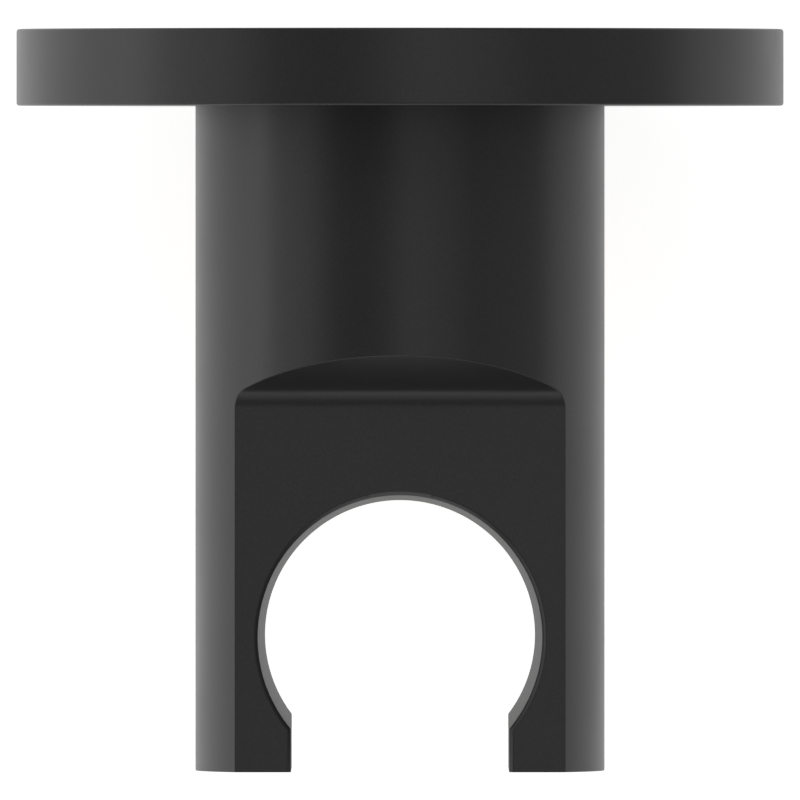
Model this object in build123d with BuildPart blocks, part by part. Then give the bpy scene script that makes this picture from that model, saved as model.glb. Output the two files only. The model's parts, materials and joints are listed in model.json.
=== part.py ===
from build123d import *
import os
from math import cos, pi, radians, tan

os.makedirs("parts", exist_ok=True)

# Frame: the wall is the plane Y = 0, the bar stands out from it along -Y, and +Z is up.
# "Depth" is the distance out from the wall, "drop" the distance below the bar's axis.

# Key holes
hex_sides = 6

# Wall adapter: inside thread G 1/2, drawn plain at its minor diameter
inlet_thread_minor = 18.63
inlet_thread_depth = 10.5
inlet_web = 2.0
inlet_hex_key = 12.0
adapter_wall = 3.685
adapter_lead_in = 0.6

# Holder body: round bar with the adapter's socket at the wall end
socket_gap = 0.1
socket_end_gap = 0.3
socket_web = 1.2
body_wall = 2.9
body_wall_clearance = 0.2
channel_diameter = 12.0

# Outlet neck and port under the bar
port_diameter = 19.0
port_drop = 8.0
chamber_diameter = 14.0
neck_height = 3.0
neck_wall = 1.1
neck_root_chamfer = 0.8

# Handset seat: flat, sloped step, tapered hole and slot to the front
flat_height = 9.5
step_angle = 65.0
step_root_radius = 1.8
seat_diameter = 22.2
seat_taper = 1.35
seat_web = 3.4
seat_shelf = 7.9
seat_setback = 10.5
seat_mouth_chamfer = 0.3
slot_width = 17.0

# Wall flange
flange_diameter = 60.0
flange_thickness = 6.0
flange_edge_chamfer = 0.2
flange_rim_wall = 2.4
flange_face_wall = 2.4
flange_hub_wall = 3.2
flange_hub_setback = 0.6
flange_slide_gap = 0.1
flange_ring_section = 1.3
flange_ring_lip = 0.65
gasket_gap = 0.05

# Seal rings, drawn squeezed: flat against both walls and pointed at the sides
ring_sides = 6
ring_gap = 0.04
ring_side_room = 0.1
adapter_ring_section = 1.52
adapter_ring_margin = 2.5
adapter_ring_pitch = 3.8
nipple_ring_section = 1.25
cage_ring_section = 1.2
cage_ring_margin = 1.8

# Grub screw M3 with cone point, and its V-groove in the adapter
grub_diameter = 3.0
grub_length = 4.0
grub_recess = 0.1
grub_depth = 2.25
grub_gap = 0.05
grub_tip_radius = 0.4
grub_hex_key = 1.5
grub_hex_depth = 1.5

# Outlet nipple: outside thread G 1/2, drawn plain at its major diameter
hose_thread_major = 20.955
hose_thread_length = 9.0
hose_thread_chamfer = 0.8
nipple_top_gap = 0.6
nipple_thread_gap = 0.05
nipple_collar_inset = 0.4
nipple_collar_height = 1.6
nipple_hex_key = 12.0

# Non-return valve
cage_diameter = 14.9
cage_gap = 0.15
cage_recess = 0.4
cage_length = 14.0
orifice_diameter = 8.4
orifice_length = 2.8
cage_bore = 12.4
guide_pocket = 3.0
guide_pocket_wall = 0.85
guide_end_gap = 0.2
guide_gap = 0.05
guide_rim_wall = 1.15
guide_hub_wall = 2.4
guide_rib_width = 1.2
guide_rib_count = 3
nose_gap = 0.6
nose_length = 1.6
nose_chamfer = 0.5
seal_seat_gap = 0.07
seal_height = 0.9
seal_lip_height = 0.35
seal_land = 1.0
seal_gap = 0.05
head_height = 1.2
spring_boss_height = 0.8
spring_boss_gap = 0.25
stem_diameter = 2.8
stem_gap = 0.1
stem_length = 7.6
spring_mean_diameter = 6.6
spring_wire = 0.5
spring_wire_sides = 6
spring_coils = 4.5

# A squeezed ring is wider along its axis than it is high
ring_spread = 1 / cos(pi / ring_sides)

# Places along the bar, as depths from the wall
adapter_radius = inlet_thread_minor / 2 + adapter_wall
adapter_length = inlet_thread_depth + inlet_web
socket_radius = adapter_radius + socket_gap
socket_depth = adapter_length + socket_end_gap
body_radius = socket_radius + body_wall
port_radius = port_diameter / 2
seat_radius = seat_diameter / 2
outlet_reach = socket_depth + socket_web + port_radius
seat_reach = outlet_reach + port_radius + seat_web + seat_radius
projection = seat_reach + seat_setback
step_foot = seat_reach - seat_radius - seat_shelf

# Places on the outlet axis, as drops below the bar's axis
neck_drop = body_radius + neck_height
nipple_top = port_drop + nipple_top_gap
collar_end = neck_drop + nipple_collar_height
nipple_end = collar_end + hose_thread_length
cage_top = nipple_top + cage_recess
ledge_drop = cage_top + cage_length
orifice_end = cage_top + orifice_length
guide_top = ledge_drop - guide_pocket

# Planes: side view for what turns about the bar, front view through the outlet and through the seat
side_plane = Plane(origin=(0, 0, 0), x_dir=(0, -1, 0), z_dir=(-1, 0, 0))
outlet_plane = Plane.XZ.offset(outlet_reach)
seat_plane = Plane.XZ.offset(seat_reach)
outlet_axis = Axis((0, -outlet_reach, 0), (0, 0, 1))
seat_axis = Axis((0, -seat_reach, 0), (0, 0, 1))

# Wall flange: dished disc with a hub that slides on the bar
flange_radius = flange_diameter / 2
flange_bore_radius = body_radius + flange_slide_gap
flange_hub_radius = flange_bore_radius + flange_hub_wall
flange_rim_radius = flange_radius - flange_rim_wall
flange_pocket_depth = flange_thickness - flange_face_wall
flange_groove_width = flange_ring_section * ring_spread + 2 * ring_side_room
flange_ring_depth = flange_thickness - flange_ring_lip - flange_groove_width / 2
flange_groove_radius = flange_bore_radius + flange_ring_section + ring_gap

with BuildPart() as wall_flange:
    with BuildSketch(side_plane) as flange_section:
        with BuildLine():
            Polyline(
                (flange_hub_setback, flange_bore_radius),
                (flange_hub_setback, flange_hub_radius),
                (flange_pocket_depth, flange_hub_radius),
                (flange_pocket_depth, flange_rim_radius),
                (0, flange_rim_radius),
                (0, flange_radius),
                (flange_thickness, flange_radius),
                (flange_thickness, flange_bore_radius),
                close=True,
            )
        make_face()
        chamfer(flange_section.vertices().group_by(Axis.Y)[-1], flange_edge_chamfer)
    revolve(axis=Axis.Y)
    with BuildSketch(side_plane):
        with Locations((flange_ring_depth, body_radius)):
            Rectangle(
                flange_groove_width,
                flange_groove_radius - body_radius,
                align=(Align.CENTER, Align.MIN),
            )
    revolve(axis=Axis.Y, mode=Mode.SUBTRACT)
wall_flange.part.label = "wall_flange"
export_step(wall_flange.part, "parts/wall_flange.step")

# Flat gasket that fills the flange's hollow back, level with the wall
with BuildPart() as flange_gasket:
    with BuildSketch(Plane.XZ):
        Circle(flange_rim_radius - gasket_gap)
        Circle(flange_hub_radius + gasket_gap, mode=Mode.SUBTRACT)
    extrude(amount=flange_pocket_depth)
flange_gasket.part.label = "flange_gasket"
export_step(flange_gasket.part, "parts/flange_gasket.step")

# Ring in the flange's bore, which grips the bar
with BuildPart() as flange_o_ring:
    with BuildSketch(side_plane):
        with Locations((flange_ring_depth, flange_bore_radius + flange_ring_section / 2)):
            RegularPolygon(flange_ring_section / 2, ring_sides, major_radius=False)
    revolve(axis=Axis.Y)
flange_o_ring.part.label = "flange_o_ring"
export_step(flange_o_ring.part, "parts/flange_o_ring.step")

# Holder body
neck_bore_radius = port_radius + nipple_ring_section + ring_gap
neck_radius = neck_bore_radius + neck_wall
neck_ring_depth = nipple_ring_section * ring_spread + ring_gap
cut_height = body_radius + flat_height
step_run = (cut_height - flat_height) / tan(radians(step_angle))
seat_taper_slope = tan(radians(seat_taper))
seat_foot_radius = seat_radius - seat_taper_slope * (flat_height + neck_drop)
mouth_reach = seat_radius + 2 * seat_mouth_chamfer
slot_half = slot_width / 2
slot_mouth = slot_half + 2 * seat_mouth_chamfer

with BuildPart() as holder_body:
    with BuildSketch(Plane.XZ.offset(body_wall_clearance)):
        Circle(body_radius)
    extrude(amount=projection - body_wall_clearance)
    # Round neck for the outlet, run out into the bar's underside
    with BuildSketch(Plane.XY.offset(-neck_drop)):
        with Locations((0, -outlet_reach)):
            Circle(neck_radius)
    extrude(amount=neck_drop)
    chamfer(holder_body.edges(Select.NEW), neck_root_chamfer)
    # Flat and sloped step, cut straight across the bar
    with BuildSketch(side_plane) as step_section:
        with BuildLine():
            Polyline(
                (step_foot, flat_height),
                (projection + seat_setback, flat_height),
                (projection + seat_setback, cut_height),
                (step_foot - step_run, cut_height),
                close=True,
            )
        make_face()
        fillet(step_section.vertices().group_by(Axis.Y)[0].sort_by(Axis.X)[0], step_root_radius)
    extrude(amount=body_radius, both=True, mode=Mode.SUBTRACT)
    # Tapered seat with a broken edge, right through the bar
    with BuildSketch(seat_plane) as seat_section:
        with BuildLine():
            Polyline(
                (0, cut_height),
                (mouth_reach, cut_height),
                (mouth_reach, flat_height),
                (seat_radius, flat_height),
                (seat_foot_radius, -neck_drop),
                (0, -neck_drop),
                close=True,
            )
        make_face()
        chamfer(seat_section.vertices().sort_by_distance((seat_radius, flat_height))[0], seat_mouth_chamfer)
    revolve(axis=seat_axis, mode=Mode.SUBTRACT)
    # Slot from the seat to the front, with the same broken edge
    with BuildSketch(seat_plane) as slot_section:
        with BuildLine():
            Polyline(
                (-slot_mouth, cut_height),
                (-slot_mouth, flat_height),
                (-slot_half, flat_height),
                (-slot_half, -neck_drop),
                (slot_half, -neck_drop),
                (slot_half, flat_height),
                (slot_mouth, flat_height),
                (slot_mouth, cut_height),
                close=True,
            )
        make_face()
        slot_edges = slot_section.vertices().sort_by_distance((0, flat_height))[0:2]
        chamfer(slot_edges, seat_mouth_chamfer)
    extrude(amount=2 * seat_setback, mode=Mode.SUBTRACT)
    # Socket for the adapter, and the water way to the outlet
    with BuildSketch(Plane.XZ):
        Circle(socket_radius)
    extrude(amount=socket_depth, mode=Mode.SUBTRACT)
    with BuildSketch(Plane.XZ.offset(socket_depth)):
        Circle(channel_diameter / 2)
    extrude(amount=outlet_reach - socket_depth, mode=Mode.SUBTRACT)
    with BuildSketch(outlet_plane):
        with BuildLine():
            Polyline(
                (0, channel_diameter / 2),
                (chamber_diameter / 2, channel_diameter / 2),
                (chamber_diameter / 2, -port_drop),
                (port_radius, -port_drop),
                (port_radius, -neck_drop + neck_ring_depth),
                (neck_bore_radius, -neck_drop + neck_ring_depth),
                (neck_bore_radius, -neck_drop),
                (0, -neck_drop),
                close=True,
            )
        make_face()
    revolve(axis=outlet_axis, mode=Mode.SUBTRACT)
    # Tapped hole of the grub screw, under the bar
    with BuildSketch(Plane.XY):
        with Locations((0, -grub_depth)):
            Circle(grub_diameter / 2)
    extrude(amount=-body_radius, mode=Mode.SUBTRACT)
holder_body.part.label = "holder_body"
export_step(holder_body.part, "parts/holder_body.step")

# Wall adapter: plug in the bar's socket, with two ring grooves and the grub screw's V-groove
adapter_groove_radius = socket_radius - adapter_ring_section - 2 * ring_gap
adapter_groove_width = adapter_ring_section * ring_spread + 2 * ring_side_room
adapter_ring_radius = adapter_groove_radius + ring_gap + adapter_ring_section / 2
adapter_ring_front_depth = adapter_length - adapter_ring_margin
adapter_ring_rear_depth = adapter_ring_front_depth - adapter_ring_pitch
grub_tip = body_radius - grub_recess - grub_length
grub_groove_radius = grub_tip - grub_gap
grub_groove_half = adapter_radius - grub_groove_radius + grub_tip_radius + grub_gap

with BuildPart() as wall_adapter:
    with BuildSketch(Plane.XZ):
        Circle(adapter_radius)
    extrude(amount=adapter_length)
    chamfer(wall_adapter.edges().sort_by(Axis.Y)[0], adapter_lead_in)
    with BuildSketch(Plane.XZ):
        Circle(inlet_thread_minor / 2)
    extrude(amount=inlet_thread_depth, mode=Mode.SUBTRACT)
    with BuildSketch(Plane.XZ.offset(inlet_thread_depth)):
        RegularPolygon(inlet_hex_key / 2, hex_sides, major_radius=False)
    extrude(amount=inlet_web, mode=Mode.SUBTRACT)
    with BuildSketch(side_plane):
        for ring_depth in (adapter_ring_front_depth, adapter_ring_rear_depth):
            with Locations((ring_depth, adapter_groove_radius)):
                Rectangle(
                    adapter_groove_width,
                    socket_radius - adapter_groove_radius,
                    align=(Align.CENTER, Align.MIN),
                )
        with BuildLine():
            Polyline(
                (grub_depth - grub_groove_half, adapter_radius),
                (grub_depth - grub_tip_radius - grub_gap, grub_groove_radius),
                (grub_depth + grub_tip_radius + grub_gap, grub_groove_radius),
                (grub_depth + grub_groove_half, adapter_radius),
                close=True,
            )
        make_face()
    revolve(axis=Axis.Y, mode=Mode.SUBTRACT)
wall_adapter.part.label = "wall_adapter"
export_step(wall_adapter.part, "parts/wall_adapter.step")

with BuildPart() as adapter_o_ring_front:
    with BuildSketch(side_plane):
        with Locations((adapter_ring_front_depth, adapter_ring_radius)):
            RegularPolygon(adapter_ring_section / 2, ring_sides, major_radius=False)
    revolve(axis=Axis.Y)
adapter_o_ring_front.part.label = "adapter_o_ring_front"
export_step(adapter_o_ring_front.part, "parts/adapter_o_ring_front.step")

with BuildPart() as adapter_o_ring_rear:
    with BuildSketch(side_plane):
        with Locations((adapter_ring_rear_depth, adapter_ring_radius)):
            RegularPolygon(adapter_ring_section / 2, ring_sides, major_radius=False)
    revolve(axis=Axis.Y)
adapter_o_ring_rear.part.label = "adapter_o_ring_rear"
export_step(adapter_o_ring_rear.part, "parts/adapter_o_ring_rear.step")

# Grub screw, pointing up into the adapter's V-groove
grub_radius = grub_diameter / 2 - grub_gap
grub_cone = grub_radius - grub_tip_radius
grub_axis = Axis((0, -grub_depth, 0), (0, 0, 1))

with BuildPart() as grub_screw:
    with BuildSketch(Plane.XZ.offset(grub_depth)):
        with BuildLine():
            Polyline(
                (0, -grub_tip),
                (grub_tip_radius, -grub_tip),
                (grub_radius, -grub_tip - grub_cone),
                (grub_radius, -grub_tip - grub_length),
                (0, -grub_tip - grub_length),
                close=True,
            )
        make_face()
    revolve(axis=grub_axis)
    with BuildSketch(Plane.XY.offset(-grub_tip - grub_length)):
        with Locations((0, -grub_depth)):
            RegularPolygon(grub_hex_key / 2, hex_sides, major_radius=False)
    extrude(amount=grub_hex_depth, mode=Mode.SUBTRACT)
grub_screw.part.label = "grub_screw"
export_step(grub_screw.part, "parts/grub_screw.step")

# Outlet nipple: screwed up into the port, with the hose thread below its collar
nipple_bore = cage_diameter / 2 + cage_gap
nipple_collar_radius = neck_radius - nipple_collar_inset
hose_radius = hose_thread_major / 2

with BuildPart() as outlet_nipple:
    with BuildSketch(outlet_plane):
        with BuildLine():
            Polyline(
                (nipple_bore, -nipple_top),
                (port_radius - nipple_thread_gap, -nipple_top),
                (port_radius - nipple_thread_gap, -neck_drop),
                (nipple_collar_radius, -neck_drop),
                (nipple_collar_radius, -collar_end),
                (hose_radius, -collar_end),
                (hose_radius, -nipple_end + hose_thread_chamfer),
                (hose_radius - hose_thread_chamfer, -nipple_end),
                (0, -nipple_end),
                (0, -ledge_drop),
                (nipple_bore, -ledge_drop),
                close=True,
            )
        make_face()
    revolve(axis=outlet_axis)
    with BuildSketch(Plane.XY.offset(-nipple_end)):
        with Locations((0, -outlet_reach)):
            RegularPolygon(nipple_hex_key / 2, hex_sides, major_radius=False)
    extrude(amount=nipple_end - ledge_drop, mode=Mode.SUBTRACT)
outlet_nipple.part.label = "outlet_nipple"
export_step(outlet_nipple.part, "parts/outlet_nipple.step")

# Ring in the neck's mouth, above the nipple's collar
with BuildPart() as nipple_o_ring:
    with BuildSketch(outlet_plane):
        with Locations((port_radius + nipple_ring_section / 2, -neck_drop + neck_ring_depth / 2)):
            RegularPolygon(nipple_ring_section / 2, ring_sides, major_radius=False, rotation=90)
    revolve(axis=outlet_axis)
nipple_o_ring.part.label = "nipple_o_ring"
export_step(nipple_o_ring.part, "parts/nipple_o_ring.step")

# Valve cage: sleeve on the nipple's ledge, with the valve seat at its top
cage_radius = cage_diameter / 2
cage_bore_radius = cage_bore / 2
orifice_radius = orifice_diameter / 2
seat_cone_end = orifice_end + cage_bore_radius - orifice_radius
guide_pocket_radius = cage_radius - guide_pocket_wall
cage_ring_drop = cage_top + cage_ring_margin
cage_groove_radius = nipple_bore - cage_ring_section - 2 * ring_gap
cage_groove_width = cage_ring_section * ring_spread + 2 * ring_side_room

with BuildPart() as valve_cage:
    with BuildSketch(outlet_plane):
        with BuildLine():
            Polyline(
                (orifice_radius, -cage_top),
                (cage_radius, -cage_top),
                (cage_radius, -ledge_drop),
                (guide_pocket_radius, -ledge_drop),
                (guide_pocket_radius, -guide_top),
                (cage_bore_radius, -guide_top),
                (cage_bore_radius, -seat_cone_end),
                (orifice_radius, -orifice_end),
                close=True,
            )
        make_face()
        with Locations((cage_groove_radius, -cage_ring_drop)):
            Rectangle(
                nipple_bore - cage_groove_radius,
                cage_groove_width,
                align=(Align.MIN, Align.CENTER),
                mode=Mode.SUBTRACT,
            )
    revolve(axis=outlet_axis)
valve_cage.part.label = "valve_cage"
export_step(valve_cage.part, "parts/valve_cage.step")

with BuildPart() as valve_cage_o_ring:
    with BuildSketch(outlet_plane):
        with Locations((cage_groove_radius + ring_gap + cage_ring_section / 2, -cage_ring_drop)):
            RegularPolygon(cage_ring_section / 2, ring_sides, major_radius=False, rotation=90)
    revolve(axis=outlet_axis)
valve_cage_o_ring.part.label = "valve_cage_o_ring"
export_step(valve_cage_o_ring.part, "parts/valve_cage_o_ring.step")

# Poppet seal: ring whose bevelled lip closes on the cage's cone, one gap away from it
nose_radius = orifice_radius - nose_gap
seal_inner_radius = nose_radius - seal_land
seal_top = orifice_end + seal_lip_height + seal_seat_gap
seal_top_radius = orifice_radius + seal_top - orifice_end - 2 * seal_seat_gap
seal_outer_radius = seal_top_radius + seal_lip_height
seal_end = seal_top + seal_height

with BuildPart() as poppet_seal:
    with BuildSketch(outlet_plane):
        with BuildLine():
            Polyline(
                (seal_inner_radius + seal_gap, -seal_top),
                (seal_top_radius, -seal_top),
                (seal_outer_radius, -seal_top - seal_lip_height),
                (seal_outer_radius, -seal_end),
                (seal_inner_radius + seal_gap, -seal_end),
                close=True,
            )
        make_face()
    revolve(axis=outlet_axis)
poppet_seal.part.label = "poppet_seal"
export_step(poppet_seal.part, "parts/poppet_seal.step")

# Poppet: nose in the orifice, groove for the seal, head, boss inside the spring, and guide stem
head_top = seal_end + seal_gap
head_end = head_top + head_height
boss_end = head_end + spring_boss_height
stem_end = head_end + stem_length
boss_radius = spring_mean_diameter / 2 - spring_wire / 2 - spring_boss_gap
stem_radius = stem_diameter / 2
nose_top = seal_top - seal_gap - nose_length

with BuildPart() as valve_poppet:
    with BuildSketch(outlet_plane):
        with BuildLine():
            Polyline(
                (0, -nose_top),
                (nose_radius - nose_chamfer, -nose_top),
                (nose_radius, -nose_top - nose_chamfer),
                (nose_radius, -seal_top + seal_gap),
                (seal_inner_radius, -seal_top + seal_gap),
                (seal_inner_radius, -head_top),
                (seal_outer_radius, -head_top),
                (seal_outer_radius, -head_end),
                (boss_radius, -head_end),
                (boss_radius, -boss_end),
                (stem_radius, -boss_end),
                (stem_radius, -stem_end),
                (0, -stem_end),
                close=True,
            )
        make_face()
    revolve(axis=outlet_axis)
valve_poppet.part.label = "valve_poppet"
export_step(valve_poppet.part, "parts/valve_poppet.step")

# Guide: spider under the spring, held between the cage's shoulder and the nipple's ledge
guide_end = ledge_drop - guide_end_gap
guide_outer_radius = guide_pocket_radius - guide_gap
guide_rim_radius = guide_outer_radius - guide_rim_wall
guide_bore_radius = stem_radius + stem_gap
guide_hub_radius = guide_bore_radius + guide_hub_wall

with BuildPart() as valve_guide:
    with BuildSketch(Plane.XY.offset(-guide_end)):
        with Locations((0, -outlet_reach)):
            Circle(guide_outer_radius)
            Circle(guide_rim_radius, mode=Mode.SUBTRACT)
            Circle(guide_hub_radius)
            with PolarLocations(0, guide_rib_count, start_angle=90):
                Rectangle(
                    guide_outer_radius - guide_rim_wall / 2,
                    guide_rib_width,
                    align=(Align.MIN, Align.CENTER),
                )
            Circle(guide_bore_radius, mode=Mode.SUBTRACT)
    extrude(amount=guide_end - guide_top)
valve_guide.part.label = "valve_guide"
export_step(valve_guide.part, "parts/valve_guide.step")

# Spring: helix between poppet head and guide, with both ends ground flat
spring_length = guide_top - head_end
spring_radius = spring_mean_diameter / 2

with BuildPart() as valve_spring:
    with BuildLine(Plane((0, -outlet_reach, -guide_top))) as spring_line:
        Helix(pitch=spring_length / spring_coils, height=spring_length, radius=spring_radius)
    with BuildSketch(Plane(origin=spring_line.line @ 0, z_dir=spring_line.line % 0)):
        RegularPolygon(spring_wire / 2, spring_wire_sides)
    sweep(path=spring_line.line, is_frenet=True)
    split(bisect_by=Plane.XY.offset(-guide_top), keep=Keep.TOP)
    split(bisect_by=Plane.XY.offset(-head_end), keep=Keep.BOTTOM)
valve_spring.part.label = "valve_spring"
export_step(valve_spring.part, "parts/valve_spring.step")
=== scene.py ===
import json
import math
from functools import partial

import bmesh
import bpy
from mathutils import Matrix, Vector


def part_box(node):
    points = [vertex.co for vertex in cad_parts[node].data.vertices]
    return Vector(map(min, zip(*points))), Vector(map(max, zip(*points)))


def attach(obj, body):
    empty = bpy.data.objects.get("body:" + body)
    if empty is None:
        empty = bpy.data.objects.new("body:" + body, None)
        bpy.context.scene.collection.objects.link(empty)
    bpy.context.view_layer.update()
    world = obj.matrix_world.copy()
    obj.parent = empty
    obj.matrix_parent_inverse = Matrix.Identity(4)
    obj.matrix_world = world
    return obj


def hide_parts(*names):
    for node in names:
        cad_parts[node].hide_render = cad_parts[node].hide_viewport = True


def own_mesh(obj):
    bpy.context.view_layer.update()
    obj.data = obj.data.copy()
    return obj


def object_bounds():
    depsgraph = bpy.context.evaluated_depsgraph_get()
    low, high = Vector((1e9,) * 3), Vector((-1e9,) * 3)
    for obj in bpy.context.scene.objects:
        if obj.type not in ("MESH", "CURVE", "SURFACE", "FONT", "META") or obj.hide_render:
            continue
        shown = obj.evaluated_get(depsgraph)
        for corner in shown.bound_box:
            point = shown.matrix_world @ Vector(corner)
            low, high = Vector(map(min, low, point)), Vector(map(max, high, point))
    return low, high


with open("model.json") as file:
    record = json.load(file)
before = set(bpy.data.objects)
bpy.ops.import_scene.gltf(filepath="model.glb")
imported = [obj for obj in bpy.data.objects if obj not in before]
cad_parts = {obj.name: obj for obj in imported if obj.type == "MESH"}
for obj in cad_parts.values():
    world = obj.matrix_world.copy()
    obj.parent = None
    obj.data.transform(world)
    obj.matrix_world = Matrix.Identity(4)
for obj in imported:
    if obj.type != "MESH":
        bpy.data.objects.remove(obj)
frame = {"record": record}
cad_low, cad_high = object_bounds()

# Sizes are metres. What the frame shows is read from it; hidden features repeat the CAD model's sizes.
# Depth is the distance from the wall, and drop the distance below the bar's axis.
MM = 0.001
MOUNTS = {mount["name"]: mount for mount in frame["record"]["mounts"]}

# Mesh resolution
ROUND_SEGMENTS = 264
INNER_SEGMENTS = 144
SCREW_SEGMENTS = 72
HOLE_SEGMENTS = 48
CORNER_STEPS = 5
FILLET_STEPS = 14
THREAD_STEPS = 12
RING_STEPS = 24
WINDOW_STEPS = 32
BEVEL_STEPS = 4
SPRING_STEPS = 48
SPRING_SIDES = 12

# Points nearer than these count as one: in a turned skin, after a cut, and before edges are rounded
WELD = 0.0001 * MM
CUT_WELD = 0.005 * MM
SLIVER = 0.02 * MM

# Edges: the angle from which one is sharp, roundings, and how far a cut reaches past the surface
SHARP_ANGLE = math.radians(34)
EDGE_RADIUS = 0.07 * MM
SOFT_EDGE = 2 * EDGE_RADIUS
SOFTER_EDGE = 3 * EDGE_RADIUS
SOFTEST_EDGE = 4 * EDGE_RADIUS
CUT_MARGIN = 5 * MM

# Bar, flat, step and seat
BAR_LOW, BAR_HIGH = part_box("holder_body")
BAR_RADIUS = BAR_HIGH.x
BAR_START = -BAR_HIGH.y
BAR_END = -BAR_LOW.y
NECK_DROP = -BAR_LOW.z
SEAT = Vector(MOUNTS["handset_seat"]["pos_m"])
FLAT_HEIGHT = SEAT.z
SEAT_DEPTH = -SEAT.y
SEAT_RADIUS = 11.1 * MM
SEAT_TAPER = math.radians(1.35)
SEAT_MOUTH = 0.3 * MM
SLOT_HALF = 8.5 * MM
STEP_FOOT = 28.5 * MM
STEP_ANGLE = math.radians(65)
STEP_ROOT_RADIUS = 1.8 * MM

# Socket, water way, port and neck
ADAPTER_LOW, ADAPTER_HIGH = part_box("wall_adapter")
ADAPTER_RADIUS = ADAPTER_HIGH.x
ADAPTER_LENGTH = -ADAPTER_LOW.y
SOCKET_RADIUS = ADAPTER_RADIUS + 0.1 * MM
SOCKET_DEPTH = ADAPTER_LENGTH + 0.3 * MM
CHANNEL_RADIUS = 6 * MM
CHAMBER_RADIUS = 7 * MM
CHAMBER_RISE = CHANNEL_RADIUS + 0.02 * MM
OUTLET_REACH = -MOUNTS["hose_thread"]["pos_m"][1]
PORT_RADIUS = 9.5 * MM
PORT_DROP = 8 * MM
NECK_RADIUS = 11.89 * MM
NECK_ROOT_RADIUS = 1.0 * MM
NECK_ROOT_SINK = 0.03 * MM
NECK_BORE_RADIUS = 10.79 * MM
NECK_BORE_DEPTH = 1.48 * MM

# Wall flange and gasket
FLANGE_LOW, FLANGE_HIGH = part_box("wall_flange")
FLANGE_RADIUS = FLANGE_HIGH.x
FLANGE_THICKNESS = -FLANGE_LOW.y
FLANGE_EDGE_RADIUS = 0.22 * MM
FLANGE_BORE_RADIUS = BAR_RADIUS + 0.1 * MM
FLANGE_HUB_RADIUS = FLANGE_BORE_RADIUS + 3.2 * MM
FLANGE_HUB_SETBACK = 0.6 * MM
FLANGE_RIM_RADIUS = FLANGE_RADIUS - 2.4 * MM
FLANGE_POCKET = FLANGE_THICKNESS - 2.4 * MM
GASKET_EDGE_RADIUS = 0.4 * MM

# Threads, G 1/2. The flat is the share of half a pitch that is level at the crest and at the root.
PIPE_PITCH = 1.814 * MM
PIPE_MAJOR = 20.955 / 2 * MM
PIPE_MINOR = 18.631 / 2 * MM
PIPE_KEY = 12 * MM
THREAD_FLAT = 0.14
THREAD_LEAD_IN = 0.3 * MM
THREAD_RELIEF = 0.7 * MM
INLET_DEPTH = 10.5 * MM
ADAPTER_LEAD_IN = 0.6 * MM

# Fits: gap between pieces, gap under a seal ring and room beside it, and how near one comes to the bar
GAP = 0.05 * MM
RING_GAP = 0.04 * MM
RING_ROOM = 0.1 * MM
RING_TOUCH = 0.004 * MM

# Seal rings: height over section here, and section over height of the solids, which are six-sided
RING_SPREAD = 1.1
SOLID_RING_SHARE = math.cos(math.pi / 6)

# Grub screw M3
GRUB_LOW, GRUB_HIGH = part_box("grub_screw")
GRUB_DEPTH = -(GRUB_LOW.y + GRUB_HIGH.y) / 2
GRUB_TIP = -GRUB_HIGH.z
GRUB_END = -GRUB_LOW.z
GRUB_RADIUS = GRUB_HIGH.x
GRUB_HOLE_RADIUS = 1.5 * MM
GRUB_MINOR = 1.2 * MM
GRUB_PITCH = 0.5 * MM
GRUB_BEVEL = 0.25 * MM
GRUB_TIP_RADIUS = 0.4 * MM
GRUB_KEY = 1.5 * MM
GRUB_KEY_DEPTH = 1.5 * MM
GRUB_GROOVE_RADIUS = 11.85 * MM
GRUB_GROOVE_HALF = 0.45 * MM

# Outlet nipple
NIPPLE_LOW, NIPPLE_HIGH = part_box("outlet_nipple")
NIPPLE_TOP = -NIPPLE_HIGH.z
NIPPLE_END = -NIPPLE_LOW.z
COLLAR_RADIUS = NIPPLE_HIGH.x
COLLAR_END = NECK_DROP + 1.6 * MM
NIPPLE_BORE_RADIUS = 7.6 * MM
HOSE_BEVEL = 0.8 * MM

# Non-return valve: cage and guide
CAGE_LOW, CAGE_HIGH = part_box("valve_cage")
CAGE_RADIUS = CAGE_HIGH.x
CAGE_TOP = -CAGE_HIGH.z
LEDGE_DROP = -CAGE_LOW.z
CAGE_BORE_RADIUS = 6.2 * MM
ORIFICE_RADIUS = 4.2 * MM
ORIFICE_END = CAGE_TOP + 2.8 * MM
GUIDE_LOW, GUIDE_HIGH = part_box("valve_guide")
GUIDE_RADIUS = GUIDE_HIGH.x
GUIDE_TOP = -GUIDE_HIGH.z
GUIDE_END = -GUIDE_LOW.z
GUIDE_RIM_RADIUS = GUIDE_RADIUS - 1.15 * MM
GUIDE_HUB_RADIUS = 3.9 * MM
GUIDE_RIBS = 3
GUIDE_RIB_WIDTH = 1.2 * MM

# Non-return valve: poppet, its seal and the spring
POPPET_LOW, POPPET_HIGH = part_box("valve_poppet")
POPPET_TOP = -POPPET_HIGH.z
POPPET_END = -POPPET_LOW.z
SEAL_LOW, SEAL_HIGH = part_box("poppet_seal")
SEAL_TOP = -SEAL_HIGH.z
SEAL_END = -SEAL_LOW.z
SEAL_RADIUS = SEAL_HIGH.x
SEAL_LIP = 0.35 * MM
POPPET_GROOVE_RADIUS = 2.6 * MM
NOSE_RADIUS = 3.6 * MM
BOSS_RADIUS = 2.8 * MM
BOSS_HEIGHT = 0.8 * MM
STEM_RADIUS = 1.4 * MM
STEM_GAP = 0.1 * MM
SPRING_LOW, SPRING_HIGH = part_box("valve_spring")
HEAD_END = -SPRING_HIGH.z
SPRING_RADIUS = 3.3 * MM
SPRING_WIRE = 0.5 * MM
SPRING_COILS = 4.5


def downward(depth):
    """Place whose local z is the drop, at the given depth."""
    return Matrix.Translation((0, -depth, 0)) @ Matrix.Rotation(math.pi, 4, "X")


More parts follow.
